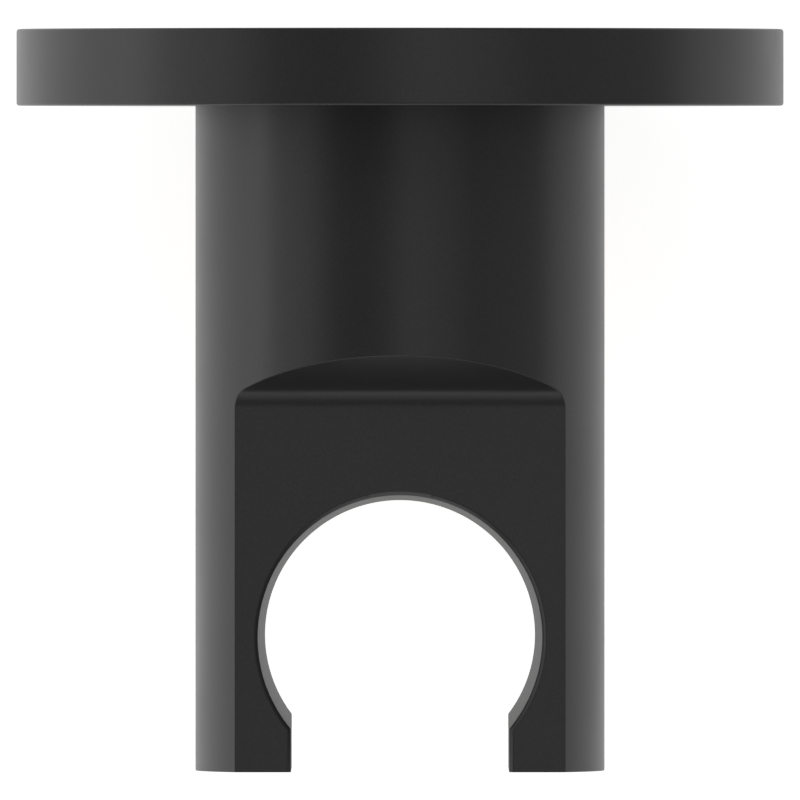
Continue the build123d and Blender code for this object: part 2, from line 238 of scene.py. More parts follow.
# Places. Along the bar local z is the depth; across the bar local x is the depth and local y the height.
ALONG_BAR = Matrix(((1, 0, 0, 0), (0, 0, -1, 0), (0, 1, 0, 0), (0, 0, 0, 1)))
ACROSS_BAR = Matrix(((0, 0, 1, 0), (-1, 0, 0, 0), (0, 1, 0, 0), (0, 0, 0, 1)))
AT_SEAT = Matrix.Translation((0, -SEAT_DEPTH, FLAT_HEIGHT))
DOWN_OUTLET = downward(OUTLET_REACH)
AT_GRUB = downward(GRUB_DEPTH)


# Materials

# Noise mostly lies in this range. Its detail is the number of finer layers.
NOISE_RANGE = (0.3, 0.7)
PLAIN_DETAIL = 2
FINE_DETAIL = 3
FINEST_DETAIL = 4


class Nodes:
    """Short way to add and link the nodes of one material or world."""

    def __init__(self, owner):
        owner.use_nodes = True
        self.owner = owner
        self.tree = owner.node_tree
        self.shader = self.tree.nodes.get("Principled BSDF") or self.tree.nodes["Background"]
        self.output = self.tree.nodes.get("Material Output") or self.tree.nodes["World Output"]

    def add(self, kind, **values):
        """New node with the given settings."""
        node = self.tree.nodes.new(kind)
        for key, value in values.items():
            setattr(node, key, value)
        return node

    def link(self, source, target):
        """Joins an output to an input."""
        self.tree.links.new(source, target)

    def show(self, surface):
        """Makes the shader the one that is seen."""
        self.link(surface, self.output.inputs["Surface"])

    def blend(self, factor, first, second):
        """Shader that goes from the first to the second with the factor."""
        blend = self.add("ShaderNodeMixShader")
        self.link(factor, blend.inputs["Fac"])
        self.link(first, blend.inputs[1])
        self.link(second, blend.inputs[2])
        return blend.outputs["Shader"]

    def calculate(self, operation, *values):
        """Result of a Math node. A value is a number or another node's output."""
        node = self.add("ShaderNodeMath", operation=operation)
        for socket, value in zip(node.inputs, values):
            if isinstance(value, bpy.types.NodeSocket):
                self.link(value, socket)
            else:
                socket.default_value = value
        return node.outputs["Value"]

    def remap(self, value, source, target, curve="LINEAR"):
        """Value taken from the source range to the target range."""
        node = self.add("ShaderNodeMapRange", interpolation_type=curve)
        node.inputs["From Min"].default_value = source[0]
        node.inputs["From Max"].default_value = source[1]
        node.inputs["To Min"].default_value = target[0]
        node.inputs["To Max"].default_value = target[1]
        self.link(value, node.inputs["Value"])
        return node.outputs["Result"]

    def part_of(self, vector, axis):
        """One axis of a vector: X, Y or Z."""
        axes = self.add("ShaderNodeSeparateXYZ")
        self.link(vector, axes.inputs["Vector"])
        return axes.outputs[axis]

    def camera_ray(self):
        """1 for what the camera sees directly."""
        return self.add("ShaderNodeLightPath").outputs["Is Camera Ray"]

    def reflected_ray(self):
        """1 for what metal or glass shows."""
        path = self.add("ShaderNodeLightPath")
        kinds = ("Is Glossy Ray", "Is Transmission Ray")
        return self.calculate("MAXIMUM", *[path.outputs[kind] for kind in kinds])

    def coordinates(self, kind="Object"):
        """The object's own coordinates, or another kind."""
        return self.add("ShaderNodeTexCoord").outputs[kind]

    def noise(self, size, detail=PLAIN_DETAIL, stretch=(1, 1, 1), vector=None):
        """Noise with features of the given size, in the object's own coordinates or those given."""
        mapping = self.add("ShaderNodeMapping")
        mapping.inputs["Scale"].default_value = [axis / size for axis in stretch]
        noise = self.add("ShaderNodeTexNoise")
        noise.inputs["Scale"].default_value = 1
        noise.inputs["Detail"].default_value = detail
        self.link(vector or self.coordinates(), mapping.inputs["Vector"])
        self.link(mapping.outputs["Vector"], noise.inputs["Vector"])
        return noise.outputs["Fac"]

    def radius(self, axis, point):
        """Distance from the axis through the point. The axis is along x, y or z."""
        offset = self.add("ShaderNodeVectorMath", operation="SUBTRACT")
        offset.inputs[1].default_value = point
        across = self.add("ShaderNodeVectorMath", operation="MULTIPLY")
        across.inputs[1].default_value = [1 - part for part in axis]
        length = self.add("ShaderNodeVectorMath", operation="LENGTH")
        self.link(self.coordinates(), offset.inputs[0])
        self.link(offset.outputs["Vector"], across.inputs[0])
        self.link(across.outputs["Vector"], length.inputs[0])
        return length.outputs["Value"]

    def turning(self, axis, point):
        """Coordinates of a turned part: radius, and place along the axis."""
        along = self.add("ShaderNodeVectorMath", operation="DOT_PRODUCT")
        along.inputs[1].default_value = axis
        both = self.add("ShaderNodeCombineXYZ")
        self.link(self.coordinates(), along.inputs[0])
        self.link(self.radius(axis, point), both.inputs["X"])
        self.link(along.outputs["Value"], both.inputs["Y"])
        return both.outputs["Vector"]

    def colour(self, factor, dark, light):
        """Base colour that goes from dark to light with the factor."""
        ramp = self.add("ShaderNodeValToRGB")
        for element, position, tone in zip(ramp.color_ramp.elements, NOISE_RANGE, (dark, light)):
            element.position = position
            element.color = (*tone, 1)
        self.link(factor, ramp.inputs["Fac"])
        self.link(ramp.outputs["Color"], self.shader.inputs["Base Color"])

    def roughness(self, factor, limits):
        """Roughness that goes from the lower to the upper limit with the factor."""
        self.link(self.remap(factor, NOISE_RANGE, limits), self.shader.inputs["Roughness"])

    def bump(self, factor, depth):
        """Fine relief of the given depth."""
        bump = self.add("ShaderNodeBump")
        bump.inputs["Strength"].default_value = 1
        bump.inputs["Distance"].default_value = depth
        self.link(factor, bump.inputs["Height"])
        self.link(bump.outputs["Normal"], self.shader.inputs["Normal"])


def new_material(name):
    """Nodes of a new material."""
    return Nodes(bpy.data.materials.new(name))


COAT_SPECKLE = 0.16 * MM
COAT_CLOUD = 9 * MM
COAT_DARK = (0.0145, 0.0147, 0.0148)
COAT_LIGHT = (0.0235, 0.0237, 0.0238)
COAT_ROUGHNESS = (0.33, 0.37)
COAT_RELIEF = 0.0012 * MM
COAT_IOR = 1.5
SEAT_ROUGHNESS = 0.5


def black_coat():
    """Satin black powder coat with a very fine speckle, duller in the seat, where less spray comes."""
    nodes = new_material("satin_black_coat")
    speckle = nodes.noise(COAT_SPECKLE, FINE_DETAIL)
    nodes.colour(speckle, COAT_DARK, COAT_LIGHT)
    satin = nodes.remap(nodes.noise(COAT_CLOUD), NOISE_RANGE, COAT_ROUGHNESS)
    in_seat = nodes.calculate("LESS_THAN", nodes.radius((0, 0, 1), SEAT), SEAT_RADIUS)
    finish = nodes.add("ShaderNodeMix")
    finish.inputs["B"].default_value = SEAT_ROUGHNESS
    nodes.link(in_seat, finish.inputs["Factor"])
    nodes.link(satin, finish.inputs["A"])
    nodes.link(finish.outputs["Result"], nodes.shader.inputs["Roughness"])
    nodes.bump(speckle, COAT_RELIEF)
    nodes.shader.inputs["IOR"].default_value = COAT_IOR
    return nodes.owner


BRASS_LINES = 0.3 * MM
BRASS_CLOUD = 5 * MM
BRASS_DARK = (0.66, 0.46, 0.20)
BRASS_LIGHT = (0.77, 0.58, 0.29)
BRASS_ROUGHNESS = (0.2, 0.38)
BRASS_RELIEF = 0.004 * MM


def brass(name, axis, point):
    """Turned brass: fine tool lines round the axis, and a slight cloud of tarnish."""
    nodes = new_material(name)
    lines = nodes.noise(BRASS_LINES, FINE_DETAIL, vector=nodes.turning(axis, point))
    tarnish = nodes.noise(BRASS_CLOUD, FINEST_DETAIL)
    nodes.colour(tarnish, BRASS_DARK, BRASS_LIGHT)
    nodes.roughness(lines, BRASS_ROUGHNESS)
    nodes.bump(lines, BRASS_RELIEF)
    nodes.shader.inputs["Metallic"].default_value = 1
    return nodes.owner


STEEL_LINES = 0.2 * MM
STEEL_STRETCH = (1, 1, 4)
STEEL_DARK = (0.54, 0.54, 0.55)
STEEL_LIGHT = (0.65, 0.65, 0.66)
STEEL_ROUGHNESS = (0.24, 0.38)
STEEL_RELIEF = 0.001 * MM


def stainless():
    """Drawn stainless steel with fine lines."""
    nodes = new_material("drawn_stainless")
    lines = nodes.noise(STEEL_LINES, FINEST_DETAIL, STEEL_STRETCH)
    nodes.colour(lines, STEEL_DARK, STEEL_LIGHT)
    nodes.roughness(lines, STEEL_ROUGHNESS)
    nodes.bump(lines, STEEL_RELIEF)
    nodes.shader.inputs["Metallic"].default_value = 1
    return nodes.owner


RUBBER_GRAIN = 0.25 * MM
RUBBER_DARK = (0.017, 0.017, 0.017)
RUBBER_LIGHT = (0.024, 0.024, 0.024)
RUBBER_ROUGHNESS = (0.5, 0.62)
RUBBER_RELIEF = 0.002 * MM


def seal_rubber():
    """Smooth moulded black rubber."""
    nodes = new_material("seal_rubber_black")
    grain = nodes.noise(RUBBER_GRAIN, FINE_DETAIL)
    nodes.colour(grain, RUBBER_DARK, RUBBER_LIGHT)
    nodes.roughness(grain, RUBBER_ROUGHNESS)
    nodes.bump(grain, RUBBER_RELIEF)
    return nodes.owner


FOAM_CELL = 0.7 * MM
FOAM_DARK = (0.028, 0.028, 0.029)
FOAM_LIGHT = (0.06, 0.06, 0.062)
FOAM_ROUGHNESS = (0.75, 0.9)
FOAM_RELIEF = 0.06 * MM


def gasket_rubber():
    """Closed-cell rubber sheet with small open cells in its cut face."""
    nodes = new_material("gasket_foam_rubber")
    voronoi = nodes.add("ShaderNodeTexVoronoi")
    voronoi.inputs["Scale"].default_value = 1 / FOAM_CELL
    nodes.link(nodes.coordinates(), voronoi.inputs["Vector"])
    cells = voronoi.outputs["Distance"]
    nodes.colour(cells, FOAM_DARK, FOAM_LIGHT)
    nodes.roughness(cells, FOAM_ROUGHNESS)
    nodes.bump(cells, FOAM_RELIEF)
    return nodes.owner


ACETAL_CLOUD = 3 * MM
ACETAL_GRAIN = 0.12 * MM
ACETAL_ROUGHNESS = (0.36, 0.46)
ACETAL_RELIEF = 0.0015 * MM
NATURAL_ACETAL = ((0.74, 0.74, 0.71), (0.81, 0.81, 0.78))
BLUE_ACETAL = ((0.042, 0.15, 0.38), (0.058, 0.19, 0.46))


def moulded(name, dark, light):
    """Moulded acetal: slight clouding and a fine texture."""
    nodes = new_material(name)
    cloud = nodes.noise(ACETAL_CLOUD, FINE_DETAIL)
    grain = nodes.noise(ACETAL_GRAIN)
    nodes.colour(cloud, dark, light)
    nodes.roughness(grain, ACETAL_ROUGHNESS)
    nodes.bump(grain, ACETAL_RELIEF)
    return nodes.owner


FINISHES = {
    "black_coat": black_coat(),
    "seal_rubber": seal_rubber(),
    "gasket_rubber": gasket_rubber(),
    "stainless": stainless(),
    "valve_plastic": moulded("natural_acetal", *NATURAL_ACETAL),
    "poppet_plastic": moulded("blue_acetal", *BLUE_ACETAL),
}
BRASS_ALONG_BAR = brass("turned_brass_along_bar", (0, 1, 0), (0, 0, 0))
BRASS_DOWN_OUTLET = brass("turned_brass_down_outlet", (0, 0, 1), (0, -OUTLET_REACH, 0))


# Mesh helpers

def object_from(name, bm):
    """Puts a finished bmesh into the scene as an object."""
    mesh = bpy.data.meshes.new(name)
    bm.to_mesh(mesh)
    bm.free()
    obj = bpy.data.objects.new(name, mesh)
    bpy.context.scene.collection.objects.link(obj)
    return obj


def apply_modifiers(obj):
    """Gives the object the mesh that its modifiers make of it."""
    depsgraph = bpy.context.evaluated_depsgraph_get()
    result = bpy.data.meshes.new_from_object(obj.evaluated_get(depsgraph))
    obj.modifiers.clear()
    obj.data = result


def finish_piece(obj, body, node, slot, material=None):
    """Shades the piece, gives it its finish, and puts it in the CAD node's place on its body."""
    obj.data.shade_smooth()
    obj.data.set_sharp_from_angle(angle=SHARP_ANGLE)
    normals = obj.modifiers.new("normals", "WEIGHTED_NORMAL")
    normals.keep_sharp = True
    obj.data.materials.clear()
    obj.data.materials.append(material or FINISHES[slot])
    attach(obj, body)
    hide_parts(node)
    return obj


def clamp(value, low=0, high=1):
    """Value kept between low and high."""
    return min(max(value, low), high)


def eased(share):
    """Share that starts and ends softly."""
    return share * share * (3 - 2 * share)


def rounded(corners):
    """Points of a loop given as corners of (radius, along, rounding)."""
    points = []
    for index, (radius, along, rounding) in enumerate(corners):
        corner = Vector((radius, along))
        if not rounding:
            points.append(tuple(corner))
            continue
        before = (Vector(corners[index - 1][:2]) - corner).normalized()
        after = (Vector(corners[(index + 1) % len(corners)][:2]) - corner).normalized()
        half = before.angle(after) / 2
        centre = corner + (before + after).normalized() * rounding / math.sin(half)
        start = (corner + before * rounding / math.tan(half) - centre).normalized()
        end = (corner + after * rounding / math.tan(half) - centre).normalized()
        for step in range(CORNER_STEPS + 1):
            points.append(tuple(centre + rounding * start.slerp(end, step / CORNER_STEPS)))
    return points


def turned(rows, place, closed=True, segments=ROUND_SEGMENTS):
    """Skin round the place's local z. A row is (radius, along), or a function of the angle."""
    bm = bmesh.new()
    grid = []
    for row in rows:
        ring = []
        for column in range(segments + 1):
            angle = 2 * math.pi * column / segments
            radius, along = row(angle) if callable(row) else row
            point = Vector((radius * math.cos(angle), radius * math.sin(angle), along))
            ring.append(bm.verts.new(place @ point))
        grid.append(ring)
    bands = list(zip(grid, grid[1:]))
    if closed:
        bands.append((grid[-1], grid[0]))
    for near, far in bands:
        for column in range(segments):
            bm.faces.new((near[column], near[column + 1], far[column + 1], far[column]))
    bmesh.ops.remove_doubles(bm, verts=bm.verts, dist=WELD)
    bmesh.ops.recalc_face_normals(bm, faces=bm.faces)
    return bm


def hex_row(apothem, along, angle):
    """Point of a six-sided key hole."""
    sector = math.pi / 3
    return apothem / math.cos(angle % sector - sector / 2), along


def key_rows(width, start, end):
    """Rows of a key hole between two planes."""
    return [partial(hex_row, width / 2, along) for along in (start, end)]


def thread_point(lead, start, end, pitch, minor, major, trim, angle):
    """Point on a right-hand thread: rows follow the helix and stop at both end planes."""
    turn = angle / (2 * math.pi)
    along = clamp(start + lead - pitch + pitch * turn, start, end)
    phase = ((along - start) / pitch - turn) % 1
    flank = clamp((abs(2 * phase - 1) - THREAD_FLAT) / (1 - 2 * THREAD_FLAT))
    share = 1 - (flank + eased(flank)) / 2
    return trim(minor + (major - minor) * share, along), along


def thread_rows(start, end, pitch, minor, major, trim):
    """Rows of a thread between two end planes. The trim gives the radius that is left at a place."""
    count = math.ceil((end - start) / pitch + 1) * THREAD_STEPS
    leads = [index * pitch / THREAD_STEPS for index in range(count + 1)]
    return [partial(thread_point, lead, start, end, pitch, minor, major, trim) for lead in leads]


def lathe(rows, place, segments=ROUND_SEGMENTS, name="solid"):
    """Solid round the place's local z from rows of (radius, along), with flat ends."""
    bm = turned(rows, place, closed=False, segments=segments)
    bmesh.ops.holes_fill(bm, edges=[edge for edge in bm.edges if edge.is_boundary])
    bmesh.ops.recalc_face_normals(bm, faces=bm.faces)
    return object_from(name, bm)


def prism(outline, place, ends):
    """Solid with an outline in the place's local x and y, between two ends along its local z."""
    bm = bmesh.new()
    near, far = [[bm.verts.new(place @ Vector((*point, end))) for point in outline] for end in ends]
    bm.faces.new(near)
    bm.faces.new(far)
    for index in range(len(outline)):
        bm.faces.new((near[index - 1], near[index], far[index], far[index - 1]))
    bmesh.ops.recalc_face_normals(bm, faces=bm.faces)
    return object_from("solid", bm)


def weld(mesh, reach):
    """Closes up points of the mesh that lie nearer together than the reach."""
    bm = bmesh.new()
    bm.from_mesh(mesh)
    bmesh.ops.remove_doubles(bm, verts=bm.verts, dist=reach)
    bmesh.ops.dissolve_degenerate(bm, edges=bm.edges, dist=WELD)
    bm.to_mesh(mesh)
    bm.free()


def combine(target, tool, operation):
    """Joins the tool to the target, or cuts it away, and removes the tool."""
    modifier = target.modifiers.new("combine", "BOOLEAN")
    modifier.operation = operation
    modifier.solver = "EXACT"
    modifier.object = tool
    apply_modifiers(target)
    weld(target.data, CUT_WELD)
    bpy.data.objects.remove(tool)


# Holder body

def neck_point(share, angle):
    """Point of the neck's root, from the bar's underside (share 0) to the neck's side (share 1)."""
    def bar_drop(radius):
        return math.sqrt(BAR_RADIUS ** 2 - (radius * math.cos(angle)) ** 2)

    slope = NECK_RADIUS * math.cos(angle) ** 2 / bar_drop(NECK_RADIUS)
    outer = NECK_RADIUS + NECK_ROOT_RADIUS / math.hypot(1, slope)
    on_bar = Vector((outer, bar_drop(outer) - NECK_ROOT_SINK))
    corner = Vector((NECK_RADIUS, bar_drop(NECK_RADIUS)))
    on_neck = corner + Vector((0, NECK_ROOT_RADIUS))
    return tuple(on_bar.lerp(corner, share).lerp(corner.lerp(on_neck, share), share))


def neck_foot(angle):
    """Point above the root's outer edge, inside the bar."""
    radius, drop = neck_point(0, angle)
    return radius, drop - NECK_ROOT_RADIUS


def neck():
    """Round neck with a soft root, hollow where the port goes."""
    root = [partial(neck_point, step / FILLET_STEPS) for step in range(FILLET_STEPS + 1)]
    end = rounded([
        (NECK_RADIUS, PORT_DROP, 0),
        (NECK_RADIUS, NECK_DROP, SOFT_EDGE),
        (CHANNEL_RADIUS, NECK_DROP, 0),
        (CHANNEL_RADIUS, PORT_DROP, 0),
    ])
    return object_from("solid", turned([neck_foot] + root + end[1:], DOWN_OUTLET))


def step_cut():
    """Air above the flat: flat, concave root, and sloped step."""
    front = BAR_END + CUT_MARGIN
    top = BAR_RADIUS + CUT_MARGIN
    reach = STEP_ROOT_RADIUS * math.tan(STEP_ANGLE / 2)
    centre = Vector((STEP_FOOT + reach, FLAT_HEIGHT + STEP_ROOT_RADIUS))
    outline = [(front, top), (front, FLAT_HEIGHT)]
    for step in range(FILLET_STEPS + 1):
        turn = STEP_ANGLE * step / FILLET_STEPS
        arc = Vector((-math.sin(turn), -math.cos(turn))) * STEP_ROOT_RADIUS
        outline.append(tuple(centre + arc))
    outline.append((STEP_FOOT - (top - FLAT_HEIGHT) / math.tan(STEP_ANGLE), top))
    return prism(outline, ACROSS_BAR, (-top, top))


def seat_cut():
    """Air in the seat: tapered wall and bevelled mouth."""
    foot = -FLAT_HEIGHT - BAR_RADIUS - CUT_MARGIN
    slope = math.tan(SEAT_TAPER)
    rows = [
        (SEAT_RADIUS + slope * foot, foot),
        (SEAT_RADIUS - slope * SEAT_MOUTH, -SEAT_MOUTH),
        (SEAT_RADIUS + 2 * SEAT_MOUTH, SEAT_MOUTH),
    ]
    return lathe(rows, AT_SEAT)


def slot_cut():
    """Air in the slot, from the seat's middle out through the front, with the same bevel."""
    foot = -BAR_RADIUS - CUT_MARGIN
    wide = SLOT_HALF + 2 * SEAT_MOUTH
    outline = [
        (-SLOT_HALF, foot),
        (SLOT_HALF, foot),
        (SLOT_HALF, FLAT_HEIGHT - SEAT_MOUTH),
        (wide, FLAT_HEIGHT + SEAT_MOUTH),
        (-wide, FLAT_HEIGHT + SEAT_MOUTH),
        (-SLOT_HALF, FLAT_HEIGHT - SEAT_MOUTH),
    ]
    return prism(outline, ALONG_BAR, (SEAT_DEPTH, BAR_END + CUT_MARGIN))


def socket_cut():
    """Air in the adapter's socket and in the channel from there to the outlet."""
    rows = [
        (SOCKET_RADIUS, -CUT_MARGIN),
        (SOCKET_RADIUS, SOCKET_DEPTH),
        (CHANNEL_RADIUS, SOCKET_DEPTH),
        (CHANNEL_RADIUS, OUTLET_REACH),
    ]
    return lathe(rows, ALONG_BAR)


def port_cut():
    """Air in the chamber above the outlet, in the port, and in the recess of the nipple's seal."""
    recess = NECK_DROP - NECK_BORE_DEPTH
    rows = [
        (CHAMBER_RADIUS, -CHAMBER_RISE),
        (CHAMBER_RADIUS, PORT_DROP),
        (PORT_RADIUS, PORT_DROP),
        (PORT_RADIUS, recess),
        (NECK_BORE_RADIUS, recess),
        (NECK_BORE_RADIUS, NECK_DROP + CUT_MARGIN),
    ]
    return lathe(rows, DOWN_OUTLET)


def grub_cut():
    """Air in the grub screw's hole, from the socket out through the bar's underside."""
    ends = (SOCKET_RADIUS - CUT_MARGIN, BAR_RADIUS + CUT_MARGIN)
    return lathe([(GRUB_HOLE_RADIUS, end) for end in ends], AT_GRUB, HOLE_SEGMENTS)


def on_neck(point):
    """True on the outlet neck, whose edges are rounded as it is turned."""
    reach = math.hypot(point.x, point.y + OUTLET_REACH)
    return point.z < 0 and reach < NECK_RADIUS + NECK_ROOT_RADIUS


def in_water_way(point):
    """True in the socket and the water way, whose edges stay sharp."""
    behind_seat = BAR_START + SLIVER < -point.y < SEAT_DEPTH - SEAT_RADIUS - SLIVER
    return behind_seat and math.hypot(point.x, point.z) < SOCKET_RADIUS + SLIVER


def outer_edge(edge):
    """True for the sharp edges that are still to be rounded."""
    if len(edge.link_faces) != 2 or edge.calc_face_angle(0) < SHARP_ANGLE:
        return False
    return not any(on_neck(vertex.co) or in_water_way(vertex.co) for vertex in edge.verts)


def round_edges(obj):
    """Softens the outer edges."""
    weld(obj.data, SLIVER)
    bm = bmesh.new()
    bm.from_mesh(obj.data)
    weights = bm.edges.layers.float.new("bevel_weight_edge")
    for edge in bm.edges:
        edge[weights] = outer_edge(edge)
    bm.to_mesh(obj.data)
    bm.free()
    bevel = obj.modifiers.new("edges", "BEVEL")
    bevel.limit_method = "WEIGHT"
    bevel.width = EDGE_RADIUS
    bevel.segments = BEVEL_STEPS
    bevel.use_clamp_overlap = False
    apply_modifiers(obj)


def holder_bar():
    """Bar with neck, flat, step, seat, slot and water way."""
    bar = lathe([(BAR_RADIUS, BAR_START), (BAR_RADIUS, BAR_END)], ALONG_BAR, name="holder_bar")
    combine(bar, neck(), "UNION")
    for cut in (step_cut, seat_cut, slot_cut, socket_cut, port_cut, grub_cut):
        combine(bar, cut(), "DIFFERENCE")
    round_edges(bar)
    return bar


finish_piece(holder_bar(), "holder", "holder_body", "black_coat")


# Wall flange

def flange_disc():
    """Dished disc with a softened outer edge, and a groove in its bore."""
    ring_low, ring_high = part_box("flange_o_ring")
    groove_radius = ring_high.x + RING_GAP
    groove_start = -ring_high.y - RING_ROOM
    groove_end = -ring_low.y + RING_ROOM
    profile = rounded([
        (FLANGE_BORE_RADIUS, FLANGE_HUB_SETBACK, 0),
        (FLANGE_HUB_RADIUS, FLANGE_HUB_SETBACK, FLANGE_EDGE_RADIUS),
        (FLANGE_HUB_RADIUS, FLANGE_POCKET, 0),
        (FLANGE_RIM_RADIUS, FLANGE_POCKET, 0),
        (FLANGE_RIM_RADIUS, 0, FLANGE_EDGE_RADIUS),
        (FLANGE_RADIUS, 0, FLANGE_EDGE_RADIUS),
        (FLANGE_RADIUS, FLANGE_THICKNESS, FLANGE_EDGE_RADIUS),
        (FLANGE_BORE_RADIUS, FLANGE_THICKNESS, EDGE_RADIUS),
        (FLANGE_BORE_RADIUS, groove_end, 0),
        (groove_radius, groove_end, 0),
        (groove_radius, groove_start, 0),
        (FLANGE_BORE_RADIUS, groove_start, 0),
    ])
    return object_from("flange_disc", turned(profile, ALONG_BAR))


finish_piece(flange_disc(), "flange", "wall_flange", "black_coat")


# Gasket and seal rings

def gasket_ring():
    """Foam ring in the flange's hollow back, soft at its edges."""
    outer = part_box("flange_gasket")[1].x
    inner = FLANGE_HUB_RADIUS + GAP
    profile = rounded([
        (inner, 0, GASKET_EDGE_RADIUS),
        (outer, 0, GASKET_EDGE_RADIUS),
        (outer, FLANGE_POCKET, 0),
        (inner, FLANGE_POCKET, 0),
    ])
    return object_from("gasket_ring", turned(profile, ALONG_BAR))


def ring_sizes(node, place):
    """Outer radius, section, and middle along the place's axis, of a seal ring."""
    low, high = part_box(node)
    axis = place.to_3x3() @ Vector((0, 0, 1))
    ends = sorted((axis.dot(low), axis.dot(high)))
    section = (ends[1] - ends[0]) * SOLID_RING_SHARE
    return high.x, section, (ends[0] + ends[1]) / 2


def seal_ring(name, node, place, inner):
    """Round rubber ring, squeezed a little longer along its axis. One on the bar has more segments."""
    outer, section, middle = ring_sizes(node, place)
    segments = ROUND_SEGMENTS if inner else INNER_SEGMENTS
    inner = inner or outer - section
    rows = []
    for step in range(RING_STEPS):
        turn = 2 * math.pi * step / RING_STEPS
        radius = (outer + inner) / 2 + (outer - inner) / 2 * math.cos(turn)
        rows.append((radius, middle + RING_SPREAD * section / 2 * math.sin(turn)))
    return object_from(name, turned(rows, place, segments=segments))


finish_piece(gasket_ring(), "flange", "flange_gasket", "gasket_rubber")
# Name, node, body, place, and the inner radius where the ring bears on the bar
SEAL_RINGS = (
    ("flange_seal", "flange_o_ring", "flange", ALONG_BAR, BAR_RADIUS + RING_TOUCH),
    ("adapter_seal_front", "adapter_o_ring_front", "holder", ALONG_BAR, None),
    ("adapter_seal_rear", "adapter_o_ring_rear", "holder", ALONG_BAR, None),
    ("nipple_seal", "nipple_o_ring", "holder", DOWN_OUTLET, None),
    ("cage_seal", "valve_cage_o_ring", "holder", DOWN_OUTLET, None),
)
for ring_name, ring_node, ring_body, ring_place, ring_inner in SEAL_RINGS:
    ring = seal_ring(ring_name, ring_node, ring_place, ring_inner)
    finish_piece(ring, ring_body, ring_node, "seal_rubber")


# Wall adapter and grub screw

def groove(node, place, surface):
    """Corners of a seal ring's groove in a surface of that radius, from the far to the near side."""
    outer, section, middle = ring_sizes(node, place)
    half = section / SOLID_RING_SHARE / 2 + RING_ROOM
    bottom = outer - section - RING_GAP
    return [
        (surface, middle + half, 0),
        (bottom, middle + half, 0),
        (bottom, middle - half, 0),
        (surface, middle - half, 0),
    ]


def adapter_mouth(radius, along):
    """Countersink at the mouth of the supply thread."""
    return max(radius, PIPE_MAJOR + THREAD_LEAD_IN - along)


def adapter_plug():
    """Brass plug: inside thread, key hole, two ring grooves and the grub screw's V-groove."""
    thread = thread_rows(0, INLET_DEPTH, PIPE_PITCH, PIPE_MINOR, PIPE_MAJOR, adapter_mouth)
    key = key_rows(PIPE_KEY, INLET_DEPTH, ADAPTER_LENGTH)
    v_half = ADAPTER_RADIUS - GRUB_GROOVE_RADIUS
    outside = rounded([
        (ADAPTER_RADIUS - ADAPTER_LEAD_IN, ADAPTER_LENGTH, 0),
        (ADAPTER_RADIUS, ADAPTER_LENGTH - ADAPTER_LEAD_IN, 0),
        *groove("adapter_o_ring_front", ALONG_BAR, ADAPTER_RADIUS),
        *groove("adapter_o_ring_rear", ALONG_BAR, ADAPTER_RADIUS),
        (ADAPTER_RADIUS, GRUB_DEPTH + GRUB_GROOVE_HALF + v_half, 0),
        (GRUB_GROOVE_RADIUS, GRUB_DEPTH + GRUB_GROOVE_HALF, 0),
        (GRUB_GROOVE_RADIUS, GRUB_DEPTH - GRUB_GROOVE_HALF, 0),
        (ADAPTER_RADIUS, GRUB_DEPTH - GRUB_GROOVE_HALF - v_half, 0),
        (ADAPTER_RADIUS, 0, EDGE_RADIUS),
        (PIPE_MAJOR, 0, 0),
    ])
    rows = thread + key + outside[:-1]
    return object_from("adapter_plug", turned(rows, ALONG_BAR, segments=INNER_SEGMENTS))


def grub_end(radius, along):
    """Bevel at the grub screw's key end."""
    return min(radius, GRUB_RADIUS - GRUB_BEVEL + GRUB_END - along)


def grub_bolt():
    """Grub screw with thread, cone point and key hole."""
    shoulder = GRUB_TIP + GRUB_RADIUS - GRUB_TIP_RADIUS
    key_floor = GRUB_END - GRUB_KEY_DEPTH
    rows = [
        (0, GRUB_TIP),
        (GRUB_TIP_RADIUS, GRUB_TIP),
        *thread_rows(shoulder, GRUB_END, GRUB_PITCH, GRUB_MINOR, GRUB_RADIUS, grub_end),
        *key_rows(GRUB_KEY, GRUB_END, key_floor),
        (0, key_floor),
    ]
    return object_from("grub_bolt", turned(rows, AT_GRUB, closed=False, segments=SCREW_SEGMENTS))


finish_piece(adapter_plug(), "holder", "wall_adapter", "brass", BRASS_ALONG_BAR)
finish_piece(grub_bolt(), "holder", "grub_screw", "stainless")


# Outlet nipple

def nipple_trim(radius, along):
    """Relief under the collar, and bevel at the thread's end."""
    relief = clamp((along - COLLAR_END) / THREAD_RELIEF - 1)
    bevel = PIPE_MAJOR - HOSE_BEVEL + NIPPLE_END - along
    return min(PIPE_MINOR + (radius - PIPE_MINOR) * relief, bevel)


def hose_nipple():
    """Brass nipple: shank in the port, collar, hose thread and key hole."""
    shank = rounded([
        (NIPPLE_BORE_RADIUS, LEDGE_DROP, 0),
        (NIPPLE_BORE_RADIUS, NIPPLE_TOP, EDGE_RADIUS),
        (PORT_RADIUS - GAP, NIPPLE_TOP, SOFT_EDGE),
        (PORT_RADIUS - GAP, NECK_DROP, 0),
        (COLLAR_RADIUS, NECK_DROP, EDGE_RADIUS),
        (COLLAR_RADIUS, COLLAR_END, SOFTER_EDGE),
        (PIPE_MINOR, COLLAR_END, 0),
    ])
    thread = thread_rows(COLLAR_END, NIPPLE_END, PIPE_PITCH, PIPE_MINOR, PIPE_MAJOR, nipple_trim)
    rows = shank + thread + key_rows(PIPE_KEY, NIPPLE_END, LEDGE_DROP)
    return object_from("hose_nipple", turned(rows, DOWN_OUTLET, segments=INNER_SEGMENTS))


finish_piece(hose_nipple(), "holder", "outlet_nipple", "brass", BRASS_DOWN_OUTLET)


# Non-return valve

